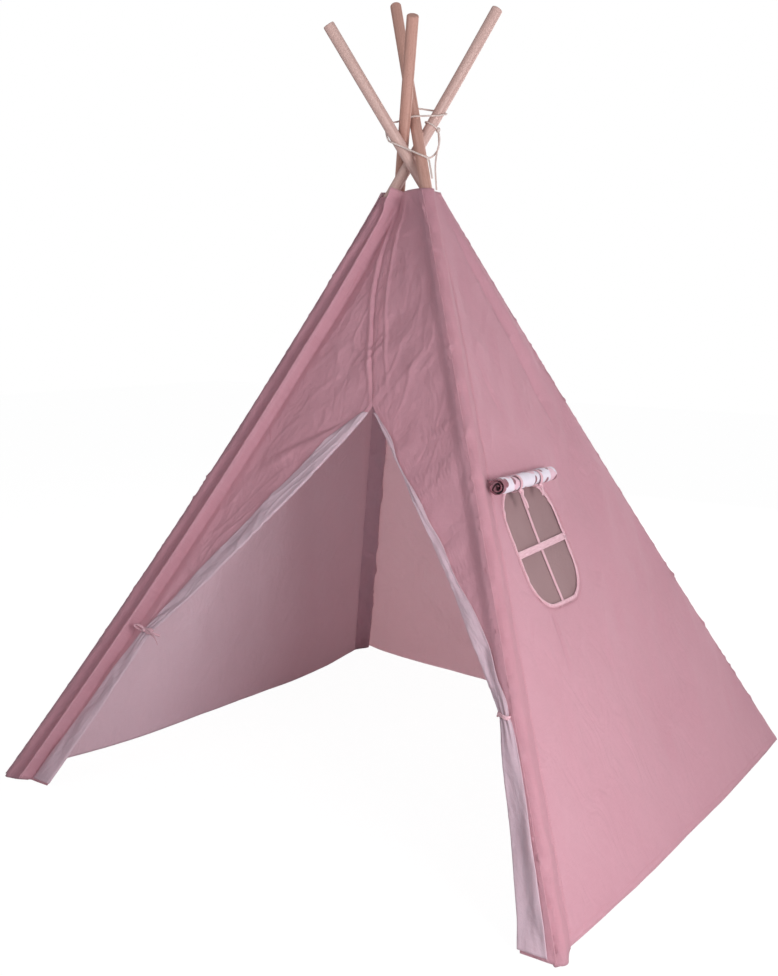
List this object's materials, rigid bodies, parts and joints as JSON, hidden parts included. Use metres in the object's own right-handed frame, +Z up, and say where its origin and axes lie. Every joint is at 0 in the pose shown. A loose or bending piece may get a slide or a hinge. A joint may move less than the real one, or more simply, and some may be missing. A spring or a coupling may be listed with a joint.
{
  "type": "play tent",
  "caption": "Children's pole tent: a pyramid cloth cover on crossed lashed wooden poles, with a tied-back doorway and a netted window under a rolled blind.",
  "frame": {"origin": "on the floor, at the centre of the tent's base", "axes": "+Z up, the doorway towards -Y, the window wall towards +X"},
  "size_m": [1.2573, 1.2093, 1.5448],
  "materials": {
    "beech": "bare sanded beech",
    "ferrule_steel": "plated, hidden in the sleeve",
    "rose_cotton": "plain-woven cotton, matt",
    "rose_cotton_wrong_side": "the cotton's paler wrong side, matt",
    "rose_ribbon": "cotton tape",
    "brown_net": "fine mosquito net",
    "printed_cotton": null,
    "lashing_cotton": "twisted cotton cord"
  },
  "bodies": {
    "right_frame": {"pole_front_right_lower": "beech", "pole_front_right_upper": "beech", "pole_front_right_ferrule": "ferrule_steel", "sleeve_front_right": "rose_cotton", "pole_back_right_lower": "beech", "pole_back_right_upper": "beech", "pole_back_right_ferrule": "ferrule_steel", "sleeve_back_right": "rose_cotton", "right_panel": "rose_cotton", "window_net": "brown_net", "window_binding": "rose_ribbon", "window_bar_vertical": "rose_ribbon", "window_bar_horizontal": "rose_ribbon", "lashing_cord": "lashing_cotton"},
    "left_frame": {"pole_front_left_lower": "beech", "pole_front_left_upper": "beech", "pole_front_left_ferrule": "ferrule_steel", "sleeve_front_left": "rose_cotton", "pole_back_left_lower": "beech", "pole_back_left_upper": "beech", "pole_back_left_ferrule": "ferrule_steel", "sleeve_back_left": "rose_cotton", "left_panel": "rose_cotton", "lashing_knot": "lashing_cotton"},
    "front_left_half": {"front_left_panel": "rose_cotton"},
    "front_right_half": {"front_right_panel": "rose_cotton"},
    "back_right_half": {"back_right_panel": "rose_cotton"},
    "back_left_half": {"back_left_panel": "rose_cotton"},
    "left_door": {"left_door_flap": "rose_cotton_wrong_side", "left_door_tie": "rose_ribbon", "left_door_bow": "rose_ribbon"},
    "right_door": {"right_door_flap": "rose_cotton_wrong_side", "right_door_tie": "rose_ribbon"},
    "window_blind": {"window_blind_roll": "printed_cotton", "blind_tie_front": "rose_ribbon", "blind_tie_back": "rose_ribbon"}
  },
  "joints": [
    {"name": "fold", "type": "hinge", "parent": "right_frame", "child": "left_frame", "pos_m": [-0.0015, -0.086, 1.206], "axis": [0, -1, 0], "range_deg": [0, 44], "deforming": ["front_left_panel", "front_right_panel", "back_right_panel", "back_left_panel", "lashing_cord"]},
    {"name": "front_left_fold", "type": "hinge", "parent": "left_frame", "child": "front_left_half", "pos_m": [-0.56757, -0.58586, 0], "axis": [-0.4083, -0.3498, -0.8432], "range_deg": [0, 92]},
    {"name": "front_right_fold", "type": "hinge", "parent": "right_frame", "child": "front_right_half", "pos_m": [0.6147, -0.57403, 0], "axis": [-0.4029, 0.3195, 0.8577], "range_deg": [0, 52]},
    {"name": "back_right_fold", "type": "hinge", "parent": "right_frame", "child": "back_right_half", "pos_m": [0.53617, 0.55133, 0], "axis": [0.3721, 0.4268, -0.8242], "range_deg": [0, 90]},
    {"name": "back_left_fold", "type": "hinge", "parent": "back_right_half", "child": "back_left_half", "pos_m": [-0.02562, 0.537, 0], "axis": [0.0026, -0.4386, 0.8987], "range_deg": [0, 172]},
    {"name": "left_door_swing", "type": "hinge", "parent": "front_left_half", "child": "left_door", "pos_m": [0.05222, -0.26832, 0.773], "axis": [0.5601, 0.3143, 0.7665], "range_deg": [0, 100]},
    {"name": "right_door_swing", "type": "hinge", "parent": "front_right_half", "child": "right_door", "pos_m": [0.05222, -0.26832, 0.773], "axis": [0.5187, -0.3149, -0.7948], "range_deg": [0, 100]},
    {"name": "blind_swing", "type": "hinge", "parent": "right_frame", "child": "window_blind", "pos_m": [0.30067, -0.26788, 0.6625], "axis": [0.0159, -0.9999, 0], "range_deg": [0, 80]}
  ],
  "couplings": [
    {"joint": "front_left_fold", "follows": "fold", "ratio": 2.09},
    {"joint": "front_right_fold", "follows": "fold", "ratio": 1.17},
    {"joint": "back_right_fold", "follows": "fold", "ratio": 2.034},
    {"joint": "back_left_fold", "follows": "fold", "ratio": 3.909}
  ]
}
